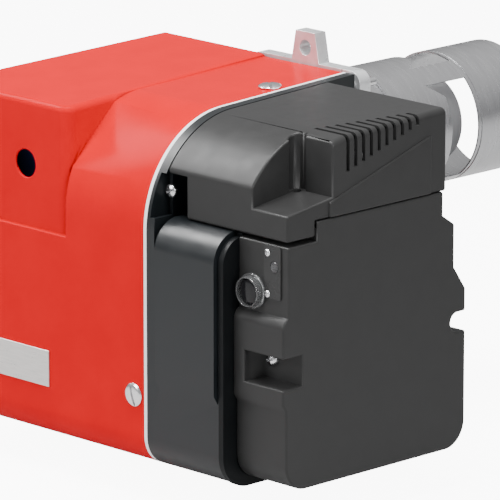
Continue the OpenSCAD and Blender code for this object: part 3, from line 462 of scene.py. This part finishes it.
def turned(profile, centre, axis, steps=48):
    """A turned shape from (radius, height) points; heights run along the axis."""
    bm = bmesh.new()
    points = [bm.verts.new((radius, 0, height)) for radius, height in profile]
    edges = [bm.edges.new((points[i], points[i + 1])) for i in range(len(points) - 1)]
    bmesh.ops.spin(bm, geom=points + edges, cent=(0, 0, 0), axis=(0, 0, 1),
                   angle=math.tau, steps=steps, use_merge=True)
    bmesh.ops.remove_doubles(bm, verts=bm.verts, dist=TURNED_MERGE_GAP)
    bmesh.ops.recalc_face_normals(bm, faces=bm.faces)
    turn = Vector((0, 0, 1)).rotation_difference(Vector(axis)).to_matrix().to_4x4()
    bmesh.ops.transform(bm, matrix=Matrix.Translation(centre) @ turn, verts=bm.verts)
    return bm


def joined(first, *others):
    """Adds the other bmeshes' shapes to the first."""
    for other in others:
        mesh = bpy.data.meshes.new("part")
        other.to_mesh(mesh)
        other.free()
        first.from_mesh(mesh)
        bpy.data.meshes.remove(mesh)
    return first


def slab(low, high, width, segments):
    """A block with rounded edges between two corners."""
    bm = bmesh.new()
    bmesh.ops.create_cube(bm, size=1.0)
    bmesh.ops.scale(bm, vec=high - low, verts=bm.verts)
    bmesh.ops.translate(bm, vec=(high + low) / 2, verts=bm.verts)
    round_edges(bm, bm.edges[:], width, segments)
    return bm


def seat(low, high):
    """Foot, radius and height of a round piece that points backwards and fills a box."""
    middle = (low + high) / 2
    return Vector((middle.x, high.y, middle.z)), (high.x - low.x) / 2, high.y - low.y


def dome_outline(radius, height, inner, outer):
    """Outline of a domed head between two radii, as (radius, height) points."""
    rim = 0.35 * height
    points = [(inner, 0), (outer, 0)]
    for k in range(DOME_STEPS + 1):
        reach = outer + (inner - outer) * k / DOME_STEPS
        rise = math.sqrt(max(0.0, 1 - (reach / radius) ** 2))
        points.append((reach, rim + (height - rim) * rise))
    if inner > 0:
        points.append((inner, 0))
    return points


def cut_back(bm, spot, normal):
    """Keeps the side of a closed shape that the normal points to, and closes the cut."""
    bmesh.ops.bisect_plane(bm, geom=bm.verts[:] + bm.edges[:] + bm.faces[:], plane_co=spot,
                           plane_no=normal, clear_inner=True)
    bmesh.ops.holes_fill(bm, edges=[e for e in bm.edges if e.is_boundary], sides=0)


def stood_at(bm, centre, axis, turn=0.0):
    """Moves a shape that stands on the XY plane to a spot, with its Z along the axis."""
    spin = Matrix.Rotation(turn, 4, "Z")
    lean = Vector((0, 0, 1)).rotation_difference(Vector(axis)).to_matrix().to_4x4()
    bmesh.ops.transform(bm, matrix=Matrix.Translation(centre) @ lean @ spin, verts=bm.verts)
    bmesh.ops.recalc_face_normals(bm, faces=bm.faces)
    return bm


def slotted_head(centre, axis, radius, height, slot, floor, turn):
    """A domed screw head with a straight slot: two half domes on a disc."""
    foot = radius * 0.985
    head = turned([(0, 0), (foot, 0), (foot, floor), (0, floor)], (0, 0, 0), UP)
    for side in (1, -1):
        half = turned(dome_outline(radius, height, 0, radius), (0, 0, 0), UP)
        cut_back(half, (side * slot / 2, 0, 0), (side, 0, 0))
        joined(head, half)
    return stood_at(head, centre, axis, turn)


def cross_head(centre, axis, radius, height, turn):
    """A domed screw head with a cross recess: a ring around four quarters on a disc."""
    inner = radius * 0.6
    slot = radius * 0.24
    floor = height * 0.25
    head = turned([(0, 0), (inner, 0), (inner, floor), (0, floor)], (0, 0, 0), UP, 24)
    joined(head, turned(dome_outline(radius, height, inner, radius), (0, 0, 0), UP, 32))
    for across in (1, -1):
        for along in (1, -1):
            part = turned(dome_outline(radius, height, 0, inner), (0, 0, 0), UP, 24)
            cut_back(part, (across * slot / 2, 0, 0), (across, 0, 0))
            cut_back(part, (0, along * slot / 2, 0), (0, along, 0))
            joined(head, part)
    return stood_at(head, centre, axis, turn)


# Pieces


class BURNER_OT_finishes(bpy.types.Operator):
    """Give every solid its finish"""

    bl_idname = "burner.finishes"
    bl_label = "Finishes"

    def execute(self, context):
        make_finishes(context.scene.burner_colours)
        slots = {s["node"]: s["material_slot"] for s in frame["record"]["subparts"]}
        for name, item in frame["nodes"].items():
            finish = FINISHES[slots[name]]
            if not item.material_slots:
                item.data.materials.append(finish)
            for own in item.material_slots:
                own.link = "OBJECT"
                own.material = finish
        return {"FINISHED"}


class BURNER_OT_stage(bpy.types.Operator):
    """Set the floor, the lights and the camera"""

    bl_idname = "burner.stage"
    bl_label = "Stage"

    def execute(self, context):
        self.floor(context.scene)
        self.world(context.scene)
        self.lights(context.scene)
        self.camera(context.scene)
        return {"FINISHED"}

    def floor(self, scene):
        """A plain pale floor that the camera sees as bright as the sky."""
        bm = bmesh.new()
        bmesh.ops.create_grid(bm, x_segments=1, y_segments=1, size=FLOOR_HALF)
        bmesh.ops.translate(bm, vec=(0, 0, HOOD_LOW.z - FLOOR_DROP), verts=bm.verts)
        mesh = bpy.data.meshes.new("floor")
        bm.to_mesh(mesh)
        bm.free()
        floor = bpy.data.objects.new("floor", mesh)
        scene.collection.objects.link(floor)
        paint, tree, shader = new_finish("pale floor")
        tree.links.new(tint(tree, grain(tree, 2.0), FLOOR_GREY, 0.01),
                       shader.inputs["Base Color"])
        shader.inputs["Roughness"].default_value = 0.8
        glow = tree.nodes.new("ShaderNodeLightPath")
        level = tree.nodes.new("ShaderNodeMath")
        level.operation = "MULTIPLY"
        level.inputs[1].default_value = FLOOR_GLOW
        tree.links.new(glow.outputs["Is Camera Ray"], level.inputs[0])
        tree.links.new(level.outputs["Value"], shader.inputs["Emission Strength"])
        shader.inputs["Emission Color"].default_value = (1, 1, 1, 1)
        floor.data.materials.append(paint)

    def world(self, scene):
        """A sky that is white above and grey below."""
        world = bpy.data.worlds.new("studio")
        world.use_nodes = True
        tree = world.node_tree
        shade = tree.nodes["Background"]
        coordinates = tree.nodes.new("ShaderNodeTexCoord")
        split = tree.nodes.new("ShaderNodeSeparateXYZ")
        ramp = tree.nodes.new("ShaderNodeValToRGB")
        low, high = ramp.color_ramp.elements
        low.position = 0.0
        low.color = SKY_LOW
        high.position = SKY_LIGHT_FROM
        high.color = SKY_HIGH
        tree.links.new(coordinates.outputs["Generated"], split.inputs["Vector"])
        tree.links.new(split.outputs["Z"], ramp.inputs["Fac"])
        tree.links.new(ramp.outputs["Color"], shade.inputs["Color"])
        shade.inputs["Strength"].default_value = SKY_LEVEL
        scene.world = world

    def lights(self, scene):
        """Square soft lamps; one of them makes only gloss."""
        for name, spot, size, power in LAMPS:
            data = bpy.data.lights.new(name, "AREA")
            data.shape = "SQUARE"
            data.size = size
            data.energy = power
            lamp = bpy.data.objects.new(name, data)
            lamp.location = spot
            lamp.rotation_euler = (LAMP_AIM - Vector(spot)).to_track_quat("-Z", "Y").to_euler()
            lamp.visible_diffuse = name != GLOSS_ONLY_LAMP
            scene.collection.objects.link(lamp)

    def camera(self, scene):
        """The photo's view: its turn, rise and lens, held at the tube's rear end."""
        data = bpy.data.cameras.new("photo_view")
        data.lens = FOCAL_PX / PHOTO_PX * SENSOR_MM
        data.sensor_width = SENSOR_MM
        data.clip_end = VIEW_FAR
        right = Vector((math.cos(VIEW_TURN), math.sin(VIEW_TURN), 0))
        ahead = Vector((-math.sin(VIEW_TURN), math.cos(VIEW_TURN), 0)) * math.cos(VIEW_RISE)
        ahead.z = -math.sin(VIEW_RISE)
        up = right.cross(ahead)
        across = (TUBE_REAR_PX[0] - PHOTO_PX / 2) / FOCAL_PX
        down = (TUBE_REAR_PX[1] - PHOTO_PX / 2) / FOCAL_PX
        spot = TUBE_REAR - TUBE_REAR_AWAY * (ahead + right * across - up * down)
        camera = bpy.data.objects.new("photo_view", data)
        camera.matrix_world = Matrix((
            (right.x, up.x, -ahead.x, spot.x),
            (right.y, up.y, -ahead.y, spot.y),
            (right.z, up.z, -ahead.z, spot.z),
            (0, 0, 0, 1),
        ))
        scene.collection.objects.link(camera)
        scene.camera = camera


class BURNER_OT_hood(bpy.types.Operator):
    """Round the red hood's edges and cut the facet beside its crown"""

    bl_idname = "burner.hood"
    bl_label = "Hood"

    def execute(self, context):
        sizes = context.scene.burner_sizes
        bm = merged_copy("hood")
        self.cut_facet(bm, sizes.facet_depth)
        self.soften_crown(bm, sizes.crown_edge)
        rest = skin_edges(bm, HOOD_SHARP_DEGREES, self.is_plain_edge)
        round_edges(bm, rest, sizes.hood_edge, 3, clamp=False)
        place(bm, "hood_form", "hood_red", "burner", covers=("hood",))
        return {"FINISHED"}

    def is_plain_edge(self, edge):
        """Whether an edge is long enough to round, and not on the crown's top right edge."""
        on_rim = all(abs(v.co.x - CROWN_SIDE) < MM and v.co.z > CROWN_RIM for v in edge.verts)
        return edge.calc_length() > HOOD_SHORT_EDGE and not on_rim

    def cut_facet(self, bm, depth):
        """Cuts the flat facet beside the crown, in the outer skin and then in the inner one."""
        lean = (FACET_OUT - Vector((depth / FACET_RUN, 0, 0))).normalized()
        for wall, reach in ((0.0, FACET_REACH), (HOOD_WALL, 0.0)):
            side = CROWN_SIDE - wall
            spot = Vector((side, CASE_Y, CASE_Z)) + FACET_OUT * (CASE_RADIUS - depth - wall)
            self.trim_arc(bm, CASE_RADIUS - wall, side - reach, spot, lean)
            self.close_facet(bm, side, spot, lean)
        bmesh.ops.recalc_face_normals(bm, faces=bm.faces)

    def trim_arc(self, bm, skin, left, spot, lean):
        """Cuts a skin's arc along the facet's plane, and deletes what lies beyond it."""
        bmesh.ops.bisect_plane(bm, geom=with_borders(self.arc_faces(bm, skin, left)),
                               plane_co=spot, plane_no=lean, dist=CUT_GAP)
        beyond = [face for face in self.arc_faces(bm, skin, left)
                  if (face.calc_center_median() - spot).dot(lean) > ON_PLANE]
        bmesh.ops.delete(bm, geom=beyond, context="FACES")

    def close_facet(self, bm, side, spot, lean):
        """Closes the cut with two faces that meet at the crown's corner: wall and facet."""
        rim = [edge for edge in bm.edges if edge.is_boundary]
        curve = [edge for edge in rim
                 if all(abs((v.co - spot).dot(lean)) < ON_PLANE for v in edge.verts)]
        wall_edges = [edge for edge in rim if edge not in curve]
        wall_corners = {v for edge in wall_edges for v in edge.verts}
        curve_corners = dict.fromkeys(v for edge in curve for v in edge.verts)
        ends = [v for v in curve_corners if v in wall_corners]
        if len(ends) != 2:
            raise RuntimeError("the facet's curve has %d ends instead of 2" % len(ends))
        corner = Vector((side, CROWN_REAR, 0))
        corner.z -= (corner - spot).dot(lean) / lean.z
        middle = bm.verts.new(corner)
        chords = [bm.edges.new((end, middle)) for end in ends]
        bmesh.ops.edgeloop_fill(bm, edges=wall_edges + chords)
        bmesh.ops.edgeloop_fill(bm, edges=curve + chords)

    def arc_faces(self, bm, skin, left):
        """Faces of the round part at a radius, to the right of a limit."""
        def on_arc(spot):
            radius = math.hypot(spot.y - CASE_Y, spot.z - CASE_Z)
            return abs(radius - skin) < SKIN_GAP and spot.x > left - 0.02 * MM

        return [face for face in bm.faces
                if all(on_arc(v.co) for v in face.verts) and abs(face.normal.x) < 0.5]

    def soften_crown(self, bm, width):
        """Rounds the crown's rear edges, and lets its right edge fall off towards the front."""
        for spot, normal in (((CROWN_CUT, 0, 0), (1, 0, 0)), ((0, CROWN_SPLIT, 0), (0, 1, 0))):
            bmesh.ops.bisect_plane(bm, geom=with_borders(self.crown_faces(bm)),
                                   plane_co=spot, plane_no=normal)
        rim = [v for v in bm.verts
               if abs(v.co.x - CROWN_SIDE) < NEAR and v.co.z > CROWN_RIM
               and v.co.y > CROWN_SPLIT - MM
               and any(face.normal.z > FACING for face in v.link_faces)
               and any(face.normal.x > FACING for face in v.link_faces)]
        front = max(v.co.y for v in rim)
        for vert in rim:
            vert.co.z -= CROWN_FALL * max(0.0, (vert.co.y - CROWN_SPLIT) / (front - CROWN_SPLIT))
        rear = sharp_edges(bm, SHARP_DEGREES, self.is_crown_rear)
        round_edges(bm, rear, width, 5, clamp=False)

    def crown_faces(self, bm):
        """The crown's top and right faces."""
        return [face for face in bm.faces
                if max(v.co.z for v in face.verts) > CROWN_RIM + 2 * MM
                and abs(face.normal.x) + abs(face.normal.z) > FACING
                and all(v.co.x < CROWN_SIDE + 5 * MM for v in face.verts)]

    def is_crown_rear(self, edge):
        """Whether an edge lies on the crown, behind the place where its right edge falls off."""
        return all(v.co.z > CROWN_RIM - 2 * MM and v.co.y < CROWN_SPLIT + NEAR
                   and v.co.x < CROWN_SIDE + MM for v in edge.verts)


class BURNER_OT_castings(bpy.types.Operator):
    """Round the housing, the rim, the cap and the air box"""

    bl_idname = "burner.castings"
    bl_label = "Housing, cap and air box"

    def execute(self, context):
        sizes = context.scene.burner_sizes
        softened("fan_housing", "housing_dark", "burner", sizes.cast_edge)
        softened("joint_plate", "rim_black", "burner", sizes.cast_edge)
        self.cap(sizes)
        self.box(sizes)
        return {"FINISHED"}

    def cap(self, sizes):
        """The cap: a wide arc along its vented edge, and rounded edges elsewhere."""
        bm = merged_copy("top_cap")
        vented = sharp_edges(bm, SHARP_DEGREES, self.is_vented_edge)
        round_edges(bm, vented, sizes.vent_edge, 6, clamp=False)
        rest = skin_edges(bm, SHARP_DEGREES, self.is_plain_edge)
        round_edges(bm, rest, sizes.box_edge, 3, clamp=False)
        place(bm, "top_cap_form", "box_plastic", "burner", covers=("top_cap",))

    def is_vented_edge(self, edge):
        """Whether an edge runs along the top of the cap's vented side."""
        on_side = all(abs(v.co.x - VENTED_SIDE) < 0.2 * MM and v.co.z > VENTED_LOW
                      for v in edge.verts)
        return on_side and abs(edge.verts[0].co.y - edge.verts[1].co.y) > MM

    def is_plain_edge(self, edge):
        """Whether an edge is long enough to round, and clear of the vents and their edge."""
        spot = middle_of(edge)
        at_vents = (VENTS_REAR < spot.y < VENTS_FRONT and spot.x > VENTS_LEFT
                    and spot.z > VENTS_LOW)
        return (edge.calc_length() >= CAST_SHORT_EDGE and not at_vents
                and not self.is_vented_edge(edge))

    def box(self, sizes):
        """The air box with rounded outer edges."""
        bm = merged_copy("air_box")
        outer = skin_edges(bm, SHARP_DEGREES,
                           lambda edge: edge.calc_length() > CAST_SHORT_EDGE)
        round_edges(bm, outer, sizes.box_edge, 3, clamp=False)
        place(bm, "air_box_form", "box_plastic", "burner", covers=("air_box",))


class BURNER_OT_metal(bpy.types.Operator):
    """Round the flange and the tube's edges"""

    bl_idname = "burner.metal"
    bl_label = "Flange and tube"

    def execute(self, context):
        sizes = context.scene.burner_sizes
        softened("boiler_flange", "flange_metal", "burner", sizes.metal_edge * 2)
        softened("blast_tube", "tube_steel", "burner", sizes.metal_edge * 0.5, segments=2)
        softened("tube_neck", "tube_steel", "burner", sizes.metal_edge, segments=2)
        softened("seam_gasket", "gasket_white", "burner", sizes.metal_edge)
        softened("indicator_plate", "panel_plastic", "burner", sizes.metal_edge)
        return {"FINISHED"}


class BURNER_OT_screws(bpy.types.Operator):
    """Add the domed cover screws and the small screws"""

    bl_idname = "burner.screws"
    bl_label = "Screws"

    def execute(self, context):
        covers = self.cover_screws(context.scene.burner_sizes.screw_dome)
        cases = joined(*[cross_head(*screw) for screw in CASE_SCREWS])
        plates = joined(*[cross_head(*screw) for screw in PLATE_SCREWS])
        place(covers, "cover_screw_heads", "screw_steel", "burner", covers=("hood_screws",))
        place(cases, "case_screw_heads", "screw_steel", "burner", covers=("case_screws",))
        place(plates, "plate_screw_heads", "screw_steel", "burner", covers=("plate_screws",))
        return {"FINISHED"}

    def cover_screws(self, dome):
        """The slotted cover screws; the one on top leans with the hood."""
        lean = math.atan(HOOD_TOP_SLOPE)
        top = COVER_SCREWS_HIGH.z - COVER_SCREW_HEIGHT
        places = (
            ((COVER_SCREW_X, HOOD_LOW.y, COVER_SCREW_Z), REAR, 0.3),
            ((COVER_SCREW_X, COVER_SCREW_Y, top), (0, -math.sin(lean), math.cos(lean)), 0.9),
            ((COVER_SCREW_X, HOOD_HIGH.y, COVER_SCREW_Z), (0, 1, 0), 1.2),
        )
        return joined(*[slotted_head(spot, axis, COVER_SCREW_RADIUS, dome, COVER_SLOT,
                                     COVER_SLOT_FLOOR, turn) for spot, axis, turn in places])


class BURNER_OT_knob(bpy.types.Operator):
    """Add the reset button's clear guard, its dome and the lamp's lens"""

    bl_idname = "burner.knob"
    bl_label = "Reset button and lamp"

    def execute(self, context):
        self.guard()
        self.button()
        self.lens()
        return {"FINISHED"}

    def guard(self):
        """The clear ring: a flange with a wall that narrows to its rim."""
        foot, outer, tall = seat(GUARD_LOW, GUARD_HIGH)
        ring = turned([
            (GUARD_BORE, 0), (outer, 0), (outer, 2.4 * MM), (outer - 0.6 * MM, 3 * MM),
            (outer - 2 * MM, 3.2 * MM), (outer - 2.1 * MM, tall - 1.4 * MM),
            (outer - 2.6 * MM, tall - 0.3 * MM), (outer - 3 * MM, tall),
            (GUARD_BORE + 0.4 * MM, tall), (GUARD_BORE, tall - 0.5 * MM), (GUARD_BORE, 0),
        ], foot, REAR, 64)
        place(ring, "guard_ring", "knob_clear", "burner", covers=("reset_guard",))

    def button(self):
        """The black button with its low dome."""
        foot, edge, tall = seat(BUTTON_LOW, BUTTON_HIGH)
        cap = turned([
            (0, 0), (edge, 0), (edge, tall - 2.2 * MM), (edge - 0.5 * MM, tall - 1.5 * MM),
            (edge - 1.6 * MM, tall - 0.8 * MM), (edge - 4 * MM, tall - 0.3 * MM), (0, tall),
        ], foot, REAR, 64)
        place(cap, "button_cap", "knob_black", "reset", covers=("reset_button",))

    def lens(self):
        """The clear lens of the lamp."""
        foot, edge, _ = seat(LENS_LOW, LENS_HIGH)
        dome = turned([
            (0, 0), (edge, 0), (edge, 1.6 * MM), (edge - 0.6 * MM, 2.1 * MM),
            (edge - 2 * MM, 2.35 * MM), (0, 2.5 * MM),
        ], foot, REAR, 40)
        place(dome, "lamp_lens", "lens_clear", "burner", covers=("indicator_lens",))


class BURNER_OT_badge(bpy.types.Operator):
    """Add the bare badge plate with its rounded edges"""

    bl_idname = "burner.badge"
    bl_label = "Badge plate"

    def execute(self, context):
        plate = slab(BADGE_LOW, BADGE_HIGH, BADGE_EDGE, 3)
        place(plate, "badge_form", "badge_silver", "burner", covers=("badge_plate",))
        return {"FINISHED"}


PIECE_OPERATORS = (
    BURNER_OT_finishes,
    BURNER_OT_stage,
    BURNER_OT_hood,
    BURNER_OT_castings,
    BURNER_OT_metal,
    BURNER_OT_screws,
    BURNER_OT_knob,
    BURNER_OT_badge,
)


class BURNER_PT_panel(bpy.types.Panel):
    """The burner's pieces in the sidebar"""

    bl_idname = "BURNER_PT_panel"
    bl_label = "Burner"
    bl_space_type = "VIEW_3D"
    bl_region_type = "UI"
    bl_category = "Burner"

    def draw(self, context):
        for operator in PIECE_OPERATORS:
            self.layout.operator(operator.bl_idname)


CLASSES = (BurnerSizes, BurnerColours) + PIECE_OPERATORS + (BURNER_PT_panel,)


def register():
    for cls in CLASSES:
        bpy.utils.register_class(cls)
    bpy.types.Scene.burner_sizes = bpy.props.PointerProperty(type=BurnerSizes)
    bpy.types.Scene.burner_colours = bpy.props.PointerProperty(type=BurnerColours)


def unregister():
    del bpy.types.Scene.burner_colours
    del bpy.types.Scene.burner_sizes
    for cls in reversed(CLASSES):
        bpy.utils.unregister_class(cls)


def main():
    register()
    bpy.ops.burner.finishes()
    bpy.ops.burner.stage()
    bpy.ops.burner.hood()
    bpy.ops.burner.castings()
    bpy.ops.burner.metal()
    bpy.ops.burner.screws()
    bpy.ops.burner.knob()
    bpy.ops.burner.badge()


if __name__ == "__main__":
    main()
